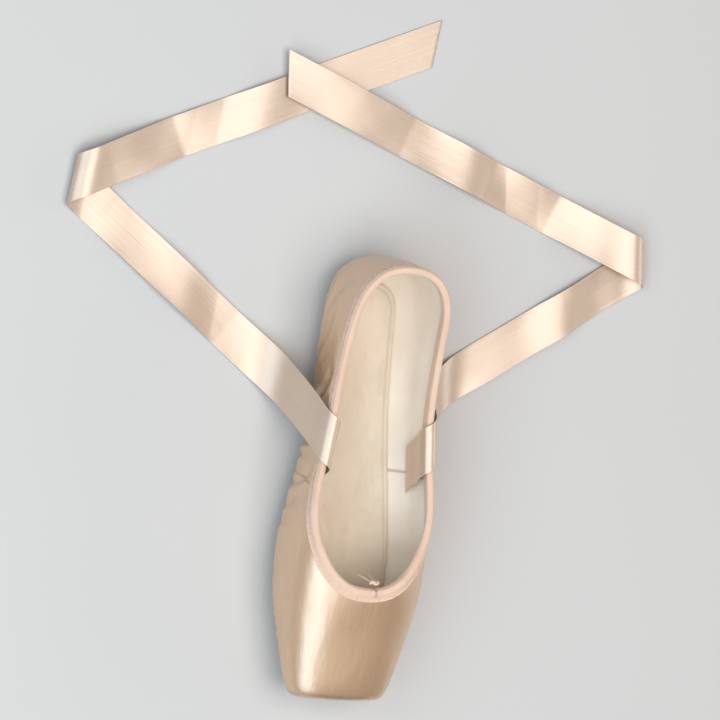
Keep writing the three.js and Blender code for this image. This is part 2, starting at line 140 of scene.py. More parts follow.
# Each ribbon's side, the slant of its rulings in degrees and its run over the floor.
RIBBON_RUNS = {
    "ribbon_right": (-1, 30.0, (
        (60, 0.5), (78, 2.6), (98, 0.9), (118, 0.5), (136, 0.5), (147, 1.2), (152.5, 4.6),
        (149, 8.3), (139, 8.2), (125, 5.2), (110, 1.8), (96, 0.6), (78, 0.5), (58, 2.8),
        (38, 1.0), (20, 0.5), (0, 0.5), (-20, 0.5), (-50, 0.5),
    )),
    "ribbon_left": (1, 27.0, (
        (58, 0.5), (76, 1.0), (94, 3.4), (112, 0.9), (126, 0.5), (135, 1.0), (141, 4.4),
        (138, 8.0), (128, 8.2), (113, 5.6), (98, 2.0), (82, 0.6), (60, 0.5), (40, 3.6),
        (22, 1.4), (5, 1.2), (-12, 3.0), (-30, 4.0), (-48, 4.2), (-80, 4.2),
    )),
}

# Creases of the quarters, soft troughs on one side of the shoe (+1 left, -1 right).
CREASE_COLUMNS = ("side", "from_x", "from_z", "to_x", "to_z", "bow", "breadth", "deep")
CREASES = (
    (-1, 124, 7, 112, 36, 3.0, 2.2, 1.35),
    (-1, 112, 7, 105, 28, -1.5, 1.6, 1.00),
    (-1, 101, 8, 88, 41, 3.5, 2.6, 1.80),
    (-1, 93, 8, 80, 26, -1.0, 1.5, 0.95),
    (-1, 84, 9, 56, 39, 4.0, 2.6, 1.40),
    (-1, 72, 8, 47, 24, -1.5, 1.8, 0.85),
    (-1, 62, 8, 26, 31, 3.0, 2.4, 1.10),
    (-1, 45, 7, 14, 20, 2.0, 2.2, 0.80),
    (-1, 136, 8, 126, 29, 2.0, 2.0, 0.85),
    (-1, 146, 8, 139, 22, 1.0, 1.8, 0.50),
    (-1, 66, 40, 36, 46, -2.0, 2.2, 0.60),
    (-1, 44, 16, 8, 40, -3.0, 3.0, 0.75),
    (-1, 118, 40, 104, 33, 1.5, 1.8, 0.70),
    (-1, 24, 12, 6, 20, 1.0, 2.2, 0.55),
    (1, 127, 7, 117, 37, 2.5, 2.3, 1.30),
    (1, 115, 8, 99, 30, -2.0, 1.8, 1.10),
    (1, 103, 7, 94, 41, 2.0, 2.4, 1.55),
    (1, 91, 8, 64, 36, 4.0, 2.5, 1.40),
    (1, 79, 8, 60, 22, -1.0, 1.8, 0.80),
    (1, 66, 9, 30, 34, 3.5, 2.6, 1.10),
    (1, 46, 7, 16, 20, 2.0, 2.2, 0.75),
    (1, 141, 8, 130, 30, 2.0, 2.1, 0.80),
    (1, 74, 42, 44, 48, -1.5, 2.1, 0.55),
    (1, 40, 17, 7, 42, -3.0, 3.0, 0.70),
    (1, 120, 41, 107, 32, 1.5, 1.8, 0.65),
    (1, 26, 11, 6, 21, 1.0, 2.2, 0.55),
)


# -------- the last

def columns(rows, names):
    """The named columns of a table."""
    return {name: np.array([row[i] for row in rows], float) for i, name in enumerate(names)}


def spline(x, y):
    """Natural cubic spline through (x, y), tabulated finely and read by linear interpolation."""
    n = len(x)
    h = np.diff(x)
    i = np.arange(1, n - 1)
    ties = np.eye(n)
    ties[i, i - 1], ties[i, i], ties[i, i + 1] = h[:-1], 2 * (h[:-1] + h[1:]), h[1:]
    load = np.zeros(n)
    load[i] = 6 * np.diff(np.diff(y) / h)
    bend = np.linalg.solve(ties, load)
    s = np.linspace(x[0], x[-1], 6001)
    k = np.clip(np.searchsorted(x, s) - 1, 0, n - 2)
    a, b = (x[k + 1] - s) / h[k], (s - x[k]) / h[k]
    curve = ((a ** 3 - a) * bend[k] + (b ** 3 - b) * bend[k + 1]) * h[k] ** 2 / 6
    values = a * y[k] + b * y[k + 1] + curve
    return lambda at: np.interp(at, s, values)


last = columns(LAST, LAST_COLUMNS)
half, under, widest, crown, belly = (spline(last["station"], last[c]) for c in LAST_COLUMNS[1:])
topline = spline(*columns(TOPLINE, TOPLINE_COLUMNS).values())
sole_half = spline(*columns(SOLE, SOLE_COLUMNS).values())


def unit(v):
    """Vectors divided by their own length."""
    return v / np.linalg.norm(v, axis=-1, keepdims=True)


def smoothstep(low, high, value):
    """0 up to low, 1 from high, and 3t^2 - 2t^3 between them."""
    t = np.clip((value - low) / (high - low), 0, 1)
    return t * t * (3 - 2 * t)


def wall_at(x):
    """The wall at a station: one thickness, then a smooth step to that of the box."""
    return WALL + (BOX_WALL - WALL) * smoothstep(BOX_STARTS, BOX_FULL, x)


def fullness(x, y, z):
    """Superellipse of the section at x, closed by a rounder one at the heel and a squarer one at
    the platform: below 1 inside the last, 1 on its surface."""
    middle = widest(x)
    above = z > middle
    power = np.where(above, SHOULDER, belly(x))
    reach = np.where(above, crown(x) - middle, middle - under(x))
    ring = ((np.abs(y) / half(x)) ** power + (np.abs(z - middle) / reach) ** power) ** (1 / power)
    back = np.maximum(0, (HEEL_ROUND - x) / HEEL_ROUND)
    lean = PLATFORM_LEAN * (z - PLATFORM_FOOT)
    front = np.maximum(0, (x - LENGTH + TOE_ROUND) / (TOE_ROUND - lean))
    k = np.where(back > 0, HEEL_POWER, TOE_POWER)
    return (ring ** k + back ** k + front ** k) ** (1 / k)


def outward(p):
    """Unit normals out of the last at points p, from central differences of fullness."""
    e = 0.02
    x, y, z = p[..., 0], p[..., 1], p[..., 2]
    return unit(np.stack([
        fullness(x + e, y, z) - fullness(x - e, y, z),
        fullness(x, y + e, z) - fullness(x, y - e, z),
        fullness(x, y, z + e) - fullness(x, y, z - e),
    ], -1))


def last_true(low, high, test):
    """Bisects whole arrays for the largest values at which test still holds."""
    a, b = np.broadcast_arrays(np.asarray(low, float), np.asarray(high, float))
    a, b = a.copy(), b.copy()
    for _ in range(34):
        m = (a + b) / 2
        held = test(m)
        a, b = np.where(held, m, a), np.where(held, b, m)
    return (a + b) / 2


def underside(x, y):
    """Height of the last's underside over points of the plan."""
    middle = widest(x)
    return middle - last_true(0 * x, middle + 5, lambda d: fullness(x, y, middle - d) < 1)


def on_sole(x, y, inset):
    """Inside the outsole's outline, drawn in by inset."""
    back, front = SOLE[0][0] + inset, SOLE[-1][0] - inset
    heel = np.clip(1 - (x - back) / SOLE_HEEL_ROUND, 0, 1)
    toe = np.clip(1 - (front - x) / SOLE_TOE_ROUND, 0, 1)
    close = np.sqrt(1 - heel ** 2) * np.sqrt(1 - toe ** 2.2)
    return (x > back) & (x < front) & (np.abs(y) < (sole_half(x) - inset) * close)


def planes(way):
    """Profile planes: foot on the centre line, direction in plan and hub height. way is 0 to 1
    round the toe, 1 to 2 along the side, 2 to 3 round the heel."""
    foot = np.interp(way, [0, 1, 2, 3], [TOE_FAN, TOE_FAN, HEEL_FAN, HEEL_FAN])
    angle = np.interp(way, [0, 1, 2, 3], [0, 0.5, 0.5, 1]) * np.pi
    return foot, np.cos(angle), np.sin(angle), widest(foot)


def in_plane(way, r, z):
    """Points of the profile planes, r out from their foot and z high."""
    foot, c, s, _ = planes(way)
    return np.stack(np.broadcast_arrays(foot + r * c, r * s, z), -1)


def seen(way, tilt):
    """Points of the last's surface seen from each plane's hub at a slope angle."""
    foot, c, s, hub = planes(way)
    ct, st = np.cos(tilt), np.sin(tilt)

    def inside(d):
        return fullness(foot + d * ct * c, d * ct * s, hub + d * st) < 1

    far = last_true(0 * (way + tilt), 220, inside)
    return np.stack([foot + far * ct * c, far * ct * s, hub + far * st], -1)


def walked(p, turn_weight=0.0):
    """Way walked along the last axis but one of p, plus turn_weight times the angle turned."""
    step = np.diff(p, axis=-2)
    size = np.linalg.norm(step, axis=-1)
    way = step / np.maximum(size, 1e-9)[..., None]
    cosine = np.clip((way[..., 1:, :] * way[..., :-1, :]).sum(-1), -1, 1)
    turn = np.concatenate([np.arccos(cosine), np.zeros(cosine.shape[:-1] + (1,))], -1)
    mark = np.cumsum(size + turn_weight * turn, -1)
    return np.concatenate([np.zeros(mark.shape[:-1] + (1,)), mark], -1)


def walked_round(p):
    """Way walked round a closed line of points p, as a column."""
    return walked(np.concatenate([p, p[:1]])[None])[0][:-1, None]


def resample(p, count, turn_weight):
    """Each row of points p (rows, points, 3) drawn again with count points."""
    mark = walked(p, turn_weight)
    mark = mark / mark[:, -1:]
    shift = 2.0 * np.arange(len(p))[:, None]
    want = (np.linspace(0, 1, count)[None] + shift).ravel()
    have = (mark + shift).ravel()
    drawn = [np.interp(want, have, p[..., i].ravel()) for i in range(3)]
    return np.stack(drawn, -1).reshape(len(p), count, 3)


def choose_ways(count, turn_weight=26.0, toe_share=1.0):
    """Planes from toe to heel, spaced by the outline's length and its turning, and closer by
    toe_share round the toe."""
    way = np.linspace(0, 3, 1801)
    step = np.diff(walked(seen(way, 0 * way), turn_weight))
    step *= np.interp(way[1:], [0, 0.9, 1.1, 3], [toe_share, toe_share, 1, 1])
    mark = np.concatenate([[0], np.cumsum(step)])
    return np.interp(np.linspace(0, mark[-1], count), mark, way)


def profiles(way):
    """Lines of the last's surface from the sole opening up to the topline, one for each plane."""
    def on_opening(r):
        p = in_plane(way, r, 0)
        return on_sole(p[..., 0], p[..., 1], SOLE_OVERLAP)

    rim = last_true(0 * way, 120, on_opening)
    start = in_plane(way, rim, 0)
    low = np.arctan2(underside(start[..., 0], start[..., 1]) - planes(way)[3], rim)

    def below_topline(tilt):
        p = seen(way, tilt)
        return p[..., 2] < topline(p[..., 0])

    high = last_true(0 * way, 1.5, below_topline)
    t = np.linspace(0, 1, 260)[None]
    return seen(way[:, None], low[:, None] + (high - low)[:, None] * t)


def both_sides(sections):
    """Sections from toe to heel on the left, then back to the toe on the right."""
    other = sections[1:-1][::-1] * np.array([1, -1, 1])
    return np.concatenate([sections, other])


# -------- meshes

def to_frame(p):
    """Millimetres by station to metres in the frame."""
    return (p + np.array([HEEL_BACK, 0, 0])) * MM


def place(name, data):
    """A new object in the scene."""
    thing = bpy.data.objects.new(name, data)
    bpy.context.scene.collection.objects.link(thing)
    return thing


def surface(name, p, ring=False, loop=False, caps=False, uv=None, slots=None):
    """A mesh from a grid of points p (sections, points, 3) in the frame. ring joins each section's
    end to its start, loop joins the last section to the first, caps close the two ends with quads
    between the first and the second half of the section's points. Faces are turned outward."""
    rows, count = p.shape[:2]
    index = np.arange(rows * count).reshape(rows, count)
    i = np.arange(rows if loop else rows - 1)
    j = np.arange(count if ring else count - 1)
    a = index[i][:, j]
    b = index[(i + 1) % rows][:, j]
    c = index[(i + 1) % rows][:, (j + 1) % count]
    d = index[i][:, (j + 1) % count]
    quads = np.stack([a, b, c, d], -1).reshape(-1, 4)
    v = p.reshape(-1, 3)
    a, b, c, d = (v[quads[:, k]] for k in range(4))
    turned = (np.cross(a, b) * c + np.cross(a, c) * d).sum() < 0
    if turned:
        quads = quads[:, ::-1]
    faces = quads.tolist()
    if caps:
        k = np.arange(count // 2 - 1)
        strip = np.stack([k, k + 1, count - 2 - k, count - 1 - k], -1)
        ends = np.concatenate([index[0][strip], index[-1][strip][:, ::-1]])
        faces += (ends[:, ::-1] if turned else ends).tolist()
    mesh = bpy.data.meshes.new(name)
    mesh.from_pydata(v.tolist(), [], faces)
    if uv is not None:
        layer = mesh.uv_layers.new(name="UVMap")
        corner = np.empty(len(mesh.loops), np.int32)
        mesh.loops.foreach_get("vertex_index", corner)
        layer.data.foreach_set("uv", uv.reshape(-1, 2)[corner].astype(np.float32).ravel())
    if slots is not None:
        each = np.broadcast_to(slots[None, : len(j)], (len(i), len(j))).ravel()
        mesh.polygons.foreach_set("material_index", each.astype(np.int32))
    mesh.shade_smooth()
    mesh.update()
    return place(name, mesh)


def weld(piece, distance=1e-6):
    """Merges doubled points, so that fans close in a point."""
    bm = bmesh.new()
    bm.from_mesh(piece.data)
    bmesh.ops.remove_doubles(bm, verts=bm.verts, dist=distance)
    bmesh.ops.recalc_face_normals(bm, faces=bm.faces)
    bm.to_mesh(piece.data)
    bm.free()
    return piece


def finish_piece(piece, materials, replaces=()):
    """A piece's materials and body, with the nodes that it stands for hidden."""
    for material in materials:
        piece.data.materials.append(material)
    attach(piece, "root")
    if replaces:
        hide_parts(*replaces)


# -------- materials

class Finish:
    """A small hand for laying out shader nodes. What goes into a socket is a number, a colour or
    another node's output."""

    def __init__(self, name, colour, roughness):
        self.material = bpy.data.materials.new(name)
        self.material.use_nodes = True
        self.material.diffuse_color = (*colour, 1)
        self.tree = self.material.node_tree
        self.shader = self.tree.nodes["Principled BSDF"]
        self.set(Base_Color=(*colour, 1), Roughness=roughness)
        self.where = self.add("ShaderNodeTexCoord")

    def feed(self, socket, value):
        if isinstance(value, bpy.types.NodeSocket):
            self.tree.links.new(value, socket)
        else:
            socket.default_value = (*value, 1) if socket.type == "RGBA" else value

    def add(self, kind, inputs=None, **settings):
        node = self.tree.nodes.new(kind)
        for key, value in settings.items():
            setattr(node, key, value)
        for key, value in (inputs or {}).items():
            self.feed(node.inputs[key], value)
        return node

    def placed(self, source="Object", scale=(1, 1, 1), turn=(0, 0, 0)):
        inputs = {"Vector": self.where.outputs[source], "Scale": scale, "Rotation": turn}
        return self.add("ShaderNodeMapping", inputs).outputs["Vector"]

    def noise(self, vector, scale, detail=2.0, rough=0.5):
        inputs = {"Vector": vector, "Scale": scale, "Detail": detail, "Roughness": rough}
        return self.add("ShaderNodeTexNoise", inputs).outputs["Fac"]

    def wave(self, vector, scale, direction="X", distortion=0.0):
        inputs = {"Vector": vector, "Scale": scale, "Distortion": distortion}
        return self.add("ShaderNodeTexWave", inputs, bands_direction=direction).outputs["Fac"]

    def cells(self, vector, scale):
        """Distance from the lines between irregular cells."""
        node = self.add("ShaderNodeTexVoronoi", {"Vector": vector, "Scale": scale},
                        feature="DISTANCE_TO_EDGE")
        return node.outputs["Distance"]

    def range(self, value, low, high, to_low=0.0, to_high=1.0):
        inputs = {"Value": value, "From Min": low, "From Max": high, "To Min": to_low,
                  "To Max": to_high}
        return self.add("ShaderNodeMapRange", inputs).outputs["Result"]

    def maths(self, operation, *values):
        return self.add("ShaderNodeMath", dict(enumerate(values)), operation=operation).outputs[0]

    def axes(self, vector):
        return self.add("ShaderNodeSeparateXYZ", {"Vector": vector}).outputs

    def blend(self, amount, first, second):
        """Mixes two colours."""
        node = self.add("ShaderNodeMix", {0: amount, 6: first, 7: second}, data_type="RGBA")
        return node.outputs[2]

    def bump(self, height, strength, distance, below=None):
        inputs = {"Height": height, "Strength": strength, "Distance": distance}
        if below is not None:
            inputs["Normal"] = below
        return self.add("ShaderNodeBump", inputs).outputs["Normal"]

    def clouds(self, first, second, scale, detail=3.0, rough=0.5):
        """Two tones in soft patches."""
        cloud = self.noise(self.placed(), scale, detail, rough)
        return self.blend(self.range(cloud, 0.3, 0.7), first, second)

    def off(self, value, mark):
        """How far a value is from a mark, on either side."""
        return self.maths("ABSOLUTE", self.maths("SUBTRACT", value, mark))

    def colour(self, socket):
        self.feed(self.shader.inputs["Base Color"], socket)

    def rough(self, socket):
        self.feed(self.shader.inputs["Roughness"], socket)

    def relief(self, socket):
        self.feed(self.shader.inputs["Normal"], socket)
        if self.shader.inputs["Coat Weight"].default_value > 0:
            self.feed(self.shader.inputs["Coat Normal"], socket)

    def set(self, **values):
        for key, value in values.items():
            self.shader.inputs[key.replace("_", " ")].default_value = value


def satin_finish():
    """Satin of the upper: a warm beige ground under a broad white gloss, fine threads along the
    shoe, slack cloth that wavers, the two side seams, the back seam and the platform's worn rim,
    whose darkening is partly wear and partly painted shade along the platform's lower edge."""
    f = Finish("peach_satin", (0.593, 0.344, 0.164), 0.44)
    f.set(Metallic=0.6, Coat_Weight=1.0, Coat_Roughness=0.34, Coat_IOR=2.9)
    threads = f.noise(f.placed(scale=(110, 3200, 3200)), 1.0, 2.0, 0.6)
    streaks = f.noise(f.placed(scale=(28, 620, 620)), 1.0, 2.0, 0.5)
    waver = f.noise(f.placed(scale=(26, 70, 70)), 1.0, 2.0, 0.5)
    tone = f.clouds((0.563, 0.324, 0.152), (0.628, 0.365, 0.172), 26.0, rough=0.55)
    tone = f.blend(f.range(threads, 0.35, 0.75, 0.0, 0.3), tone, (0.68, 0.398, 0.19))
    tone = f.blend(f.range(streaks, 0.35, 0.7, 0.0, 0.45), tone, (0.697, 0.418, 0.208))
    x, y, z = f.axes(f.placed())
    side = f.maths("SUBTRACT", f.maths("MULTIPLY", z, SIDE_SEAM_LEAN), x)
    side = f.maths("ABSOLUTE", f.maths("ADD", side, SIDE_SEAM))
    ahead = f.range(x, BACK_SEAM_END, BACK_SEAM_END + MM)
    behind = f.maths("ADD", f.maths("ABSOLUTE", y), ahead)
    seam = f.maths("MINIMUM", side, behind)
    groove = f.range(seam, 0.15 * MM, 0.75 * MM)
    tone = f.blend(f.range(seam, 0.1 * MM, 0.5 * MM, 0.55, 0.0), tone, (0.40, 0.24, 0.13))
    # The platform's rim: a dark band that is partly wear and partly painted shade along the
    # platform's lower edge.
    rim = f.maths("MAXIMUM", f.maths("DIVIDE", f.maths("ABSOLUTE", y), RIM_HALF),
                  f.maths("DIVIDE", f.off(z, RIM_MIDDLE), RIM_HIGH))
    worn = f.maths("MULTIPLY", f.range(x, RIM_FROM, RIM_FROM + RIM_FADE), f.range(rim, 0.84, 1.0))
    specks = f.noise(f.placed(), 420.0, 3.0)
    worn = f.maths("MULTIPLY", worn, f.range(specks, 0.3, 0.6, 0.35, 0.85))
    # the rim's dark tone: wear and painted shade
    f.colour(f.blend(worn, tone, (0.33, 0.205, 0.115)))
    f.rough(f.range(threads, 0.3, 0.7, 0.40, 0.48))
    relief = f.bump(waver, 0.5, 0.0011)
    relief = f.bump(streaks, 0.22, 0.0003, relief)
    relief = f.bump(threads, 0.12, 0.0002, relief)
    f.relief(f.bump(groove, 0.8, 0.0006, relief))
    return f.material


def lining_finish():
    """Cotton twill of the lining, with its own side seam."""
    f = Finish("cotton_lining", (0.80, 0.70, 0.58), 0.85)
    f.set(Sheen_Weight=0.2)
    twill = f.wave(f.placed(turn=(0, 0.6, 0.7)), 900.0, "DIAGONAL", 0.4)
    tone = f.clouds((0.80, 0.68, 0.55), (0.88, 0.79, 0.68), 40.0)
    seam = f.range(f.off(f.axes(f.placed())[0], SIDE_SEAM), 0.3 * MM, 1.1 * MM)
    f.colour(f.blend(seam, (0.62, 0.48, 0.36), tone))
    f.relief(f.bump(seam, 0.7, 0.0006, f.bump(twill, 0.35, 0.0002)))
    return f.material


def tape_finish():
    """Soft ribbed tape, with the dark line where its two ends meet, strongest over the arch."""
    f = Finish("binding_tape", (0.70, 0.46, 0.34), 0.62)
    f.set(Sheen_Weight=0.3, Sheen_Roughness=0.45, Specular_IOR_Level=0.45)
    ribs = f.wave(f.placed("UV"), 0.5, "X", 0.25)
    fuzz = f.noise(f.placed("UV", scale=(1.4, 5.0, 1)), 1.0, 2.0, 0.6)
    tone = f.clouds((0.66, 0.42, 0.295), (0.735, 0.505, 0.38), 60.0)
    tone = f.blend(f.range(fuzz, 0.35, 0.7, 0.0, 0.4), tone, (0.79, 0.60, 0.47))
    tone = f.blend(f.range(ribs, 0.0, 1.0, 0.0, 0.25), tone, (0.79, 0.62, 0.50))
    along, across, _ = f.axes(f.placed("UV"))
    join = f.range(f.off(along, TAPE_JOIN), 0.1, 0.9)
    join = f.maths("MAXIMUM", join, f.range(across, 1.5, 4.5, 1.0, 0.25))
    f.colour(f.blend(join, (0.50, 0.24, 0.16), tone))
    relief = f.bump(fuzz, 0.4, 0.0003)
    f.relief(f.bump(ribs, 0.5, 0.0002, relief))
    return f.material


def leather_finish():
    """Rough tan leather, scored with a knife under the ball and darker along its skived edge."""
    f = Finish("sole_leather", (0.60, 0.36, 0.17), 0.75)
    f.set(Specular_IOR_Level=0.3, Sheen_Weight=0.1)
    grain = f.noise(f.placed(), 900.0, 4.0, 0.6)
    patches = f.noise(f.placed(), 45.0, 4.0, 0.6)
    tone = f.blend(f.range(patches, 0.3, 0.7), (0.53, 0.30, 0.135), (0.68, 0.43, 0.22))
    tone = f.blend(f.range(grain, 0.4, 0.8, 0.0, 0.4), tone, (0.42, 0.235, 0.11))
    scratches = f.noise(f.placed(scale=(160, 1500, 400), turn=(0, 0, 0.5)), 1.0, 3.0, 0.6)
    tone = f.blend(f.range(scratches, 0.62, 0.72, 0.0, 0.5), tone, (0.80, 0.58, 0.36))
    x = f.axes(f.placed())[0]
    score = f.cells(f.placed(scale=(0.8, 1.3, 1)), 105.0)
    score = f.maths("MAXIMUM", f.range(score, 0.008, 0.05), f.range(x, 5 * MM, 15 * MM, 1.0, 0.0))
    tone = f.blend(f.maths("MAXIMUM", score, 0.3), (0.34, 0.18, 0.075), tone)
    inward = f.axes(f.placed("UV"))[0]
    f.colour(f.blend(f.range(inward, 0.0, 3.2, 0.7, 0.0), tone, (0.30, 0.155, 0.065)))
    f.rough(f.range(patches, 0.3, 0.7, 0.6, 0.85))
    f.relief(f.bump(score, 0.7, 0.0004, f.bump(grain, 0.5, 0.0003)))
    return f.material


def sock_finish():
    """Woven cloth of the sock, rubbed in patches, with the line of its hem."""
    f = Finish("sock_cloth", (0.78, 0.70, 0.60), 0.9)
    f.set(Sheen_Weight=0.2)
    over = f.wave(f.placed(), 700.0, "X", 0.2)
    across = f.wave(f.placed(), 700.0, "Y", 0.2)
    weave = f.maths("MULTIPLY", over, across)
    tone = f.clouds((0.66, 0.55, 0.43), (0.76, 0.66, 0.54), 30.0)
    inward = f.axes(f.placed("UV"))[0]
    worn = f.range(f.noise(f.placed(scale=(60, 110, 60)), 1.0, 3.0, 0.6), 0.5, 0.75, 0.0, 0.35)
    tone = f.blend(worn, tone, (0.52, 0.41, 0.31))
    hem = f.range(f.off(inward, 2.6), 0.25, 0.6)
    f.colour(f.blend(f.maths("MAXIMUM", hem, 0.55), (0.58, 0.46, 0.35), tone))
    f.relief(f.bump(hem, 0.45, 0.0004, f.bump(weave, 0.35, 0.0003)))
    return f.material


def ribbon_finish():
    """Single-faced satin ribbon: threads along its length and a firm woven edge on both sides."""
    f = Finish("ribbon_satin", (0.525, 0.371, 0.262), 0.46)
    f.set(Metallic=0.35, Coat_Weight=1.0, Coat_Roughness=0.36, Coat_IOR=2.1)
    across = f.axes(f.placed("UV"))[1]
    threads = f.noise(f.placed("UV", scale=(0.03, 9.0, 1)), 1.0, 2.0, 0.6)
    streaks = f.noise(f.placed("UV", scale=(0.012, 1.3, 1)), 1.0, 2.0, 0.5)
    tone = f.clouds((0.50, 0.352, 0.246), (0.549, 0.395, 0.281), 30.0, 2.0)
    tone = f.blend(f.range(threads, 0.35, 0.75, 0.0, 0.25), tone, (0.607, 0.466, 0.354))
    tone = f.blend(f.range(streaks, 0.35, 0.7, 0.0, 0.5), tone, (0.631, 0.474, 0.354))
    middle = RIBBON_WIDTH / 2
    selvedge = f.range(f.off(across, middle), middle - 1.3, middle - 1.0)
    f.colour(f.blend(selvedge, tone, (0.558, 0.403, 0.289)))
    f.rough(f.range(threads, 0.3, 0.7, 0.42, 0.50))
    waver = f.noise(f.placed("UV", scale=(0.03, 0.06, 1)), 1.0, 1.0, 0.4)
    relief = f.bump(waver, 0.4, 0.0010)
    relief = f.bump(streaks, 0.3, 0.0003, relief)
    relief = f.bump(threads, 0.15, 0.0002, relief)
    f.relief(f.bump(selvedge, 0.3, 0.0001, relief))
    return f.material


def thread_finish():
    """Twisted sewing thread."""
    f = Finish("sewing_thread", (0.70, 0.50, 0.38), 0.6)
    f.set(Sheen_Weight=0.3)
    twist = f.wave(f.placed(), 1200.0, "DIAGONAL", 0.5)
    f.colour(f.blend(twist, (0.64, 0.44, 0.32), (0.74, 0.56, 0.44)))
    return f.material


def cord_finish():
    """Twisted cotton cord."""
    f = Finish("drawstring_cord", (0.80, 0.58, 0.46), 0.7)
    f.set(Sheen_Weight=0.3)
    twist = f.wave(f.placed(), 1500.0, "DIAGONAL", 0.4)
    f.colour(f.blend(twist, (0.74, 0.50, 0.38), (0.88, 0.68, 0.56)))
    f.relief(f.bump(twist, 0.5, 0.0002))
    return f.material


def floor_finish():
    """Plain pale floor, hardly mottled."""
    f = Finish("studio_floor", (0.51, 0.50, 0.495), 0.5)
    f.set(Specular_IOR_Level=0.2)
    f.colour(f.clouds((0.530, 0.520, 0.511), (0.541, 0.531, 0.522), 3.0, 2.0))
    return f.material


# -------- camera, light and floor

CAMERA_LEAN = 66.0        # degrees up from the right side
CAMERA_SLIDE = 5.0        # degrees towards the heel
CAMERA_ROLL = 6.5         # degrees
CAMERA_SPAN = 0.375       # metres across the view at the aim
CAMERA_AIM = (-0.062, -0.006, 0.02)
CAMERA_LENS = 240


def place_camera():
    """Long lens, square to the shoe's length, turned round it towards the right side, and rolled so
    that the toe points down."""
    lean, slide, span = math.radians(CAMERA_LEAN), math.radians(CAMERA_SLIDE), CAMERA_SPAN
    away = Vector((-math.sin(slide), -math.cos(lean) * math.cos(slide),
                   math.sin(lean) * math.cos(slide)))
    aim = Vector(CAMERA_AIM)
    up = Vector((-1, 0, 0))
    side = up.cross(away).normalized()
    up = away.cross(side)
    data = bpy.data.cameras.new("camera")
    data.lens = CAMERA_LENS
    distance = span / 2 / math.tan(data.angle / 2)
    camera = place("camera", data)
    turn = Matrix((side, up, away)).transposed().to_4x4()
    roll = Matrix.Rotation(math.radians(CAMERA_ROLL), 4, "Z")
    camera.matrix_world = Matrix.Translation(aim + away * distance) @ turn @ roll
    bpy.context.scene.camera = camera


def soft_light(name, at, size, power, colour=(1, 1, 1)):
    """A rectangular lamp turned to the middle of the shoe."""
    data = bpy.data.lights.new(name, "AREA")
    data.shape = "RECTANGLE"
    data.size, data.size_y = size
    data.energy = power
    data.color = colour
    light = place(name, data)
    light.location = at
    way = Vector((0, 0, 0.02)) - light.location
    light.rotation_euler = way.to_track_quat("-Z", "Y").to_euler()


def light_studio():
    """A broad cool key over the right side, a warm fill from above and a thin rim."""
    world = bpy.data.worlds.new("studio")
    world.use_nodes = True
    sky = world.node_tree.nodes["Background"]
    sky.inputs["Color"].default_value = (0.93, 0.95, 1.0, 1)
    sky.inputs["Strength"].default_value = 0.22
    bpy.context.scene.world = world
    soft_light("key", (0.32, -1.05, 1.1), (3.2, 1.0), 26.5, (0.75, 0.895, 1.0))
    soft_light("fill", (0.0, 0.1, 1.8), (1.6, 1.4), 26.5, (1.0, 0.95, 0.89))
    soft_light("rim", (-0.3, 1.6, 0.5), (1.8, 0.4), 7)
    bpy.context.scene.view_settings.view_transform = "Standard"


def lay_floor():
    """A plain square floor at height 0."""
    t = np.linspace(-3, 3, 13)
    x, y = np.meshgrid(t, t, indexing="ij")
    floor = surface("floor", np.stack([x, y, 0 * x], -1))
    floor.data.materials.append(floor_finish())


# -------- pieces

def stand(x):
    """The topline's edge on the left side at a station."""
    way = np.array([1 + (TOE_FAN - x) / (TOE_FAN - HEEL_FAN)])
    return profiles(way)[0, -1]


def ribbon_sheet(side, slant, run, steps, across):
    """A strip whose straight rulings run along the quarter's wall: its end view is the bent line
    of the table, and each ruling slides back by the tangent of the slant for each step forward.
    Returns points (steps, across, 3) on its middle sheet, their normals, their UV in mm and how
    far along the ribbon its fold is."""
    outs, ups = columns(RIBBON_DROP + run, RIBBON_COLUMNS).values()
    mark = np.concatenate([[0], np.cumsum(np.hypot(np.diff(outs), np.diff(ups)))])
    at = np.linspace(0, mark[-1], 9000)
    out = spline(mark, outs)(at)
    rise = np.maximum(spline(mark, ups)(at), FLOOR_LIFT)
    line = np.stack([out, rise, 0 * out], -1)
    length = walked(line)
    cos, tan = math.cos(math.radians(slant)), math.tan(math.radians(slant))
    top = length[np.argmax(rise)]
    keep = length <= RIBBON_LENGTH * cos
    line, length = line[keep], length[keep]
    weighted = walked(line, 6.0)
    want = np.interp(np.linspace(0, weighted[-1], steps), weighted, length)
    out, rise = np.interp(want, length, line[:, 0]), np.interp(want, length, line[:, 1])
    edge = stand(RIBBON_STATION)
    along = unit((stand(RIBBON_STATION + 6) - stand(RIBBON_STATION - 6)) * np.array([1, 1, 0]))
    square = np.array([-along[1], along[0], 0])
    part = np.concatenate([[-0.5], np.linspace(-0.494, 0.494, across - 2), [0.5]])
    slide = (top - want)[:, None] * tan + part[None] * RIBBON_WIDTH / cos
    p = edge * np.array([1, 1, 0]) + slide[..., None] * along + out[:, None, None] * square
    p[..., 2] += rise[:, None]
    tangent = unit(np.gradient(np.stack([out, rise], -1), axis=0))
    normal = -tangent[:, 1, None] * square + tangent[:, 0, None] * np.array([0, 0, 1])
    normal = np.broadcast_to(normal[:, None], p.shape).copy()
    mirror = np.array([1, side, 1])
    p, normal = p * mirror, normal * mirror
    s = want[:, None] / cos - part[None] * RIBBON_WIDTH * tan
    uv = np.stack([s, np.broadcast_to((part + 0.5)[None] * RIBBON_WIDTH, s.shape)], -1)
    return p, normal, uv, want[np.argmax(out)] / cos


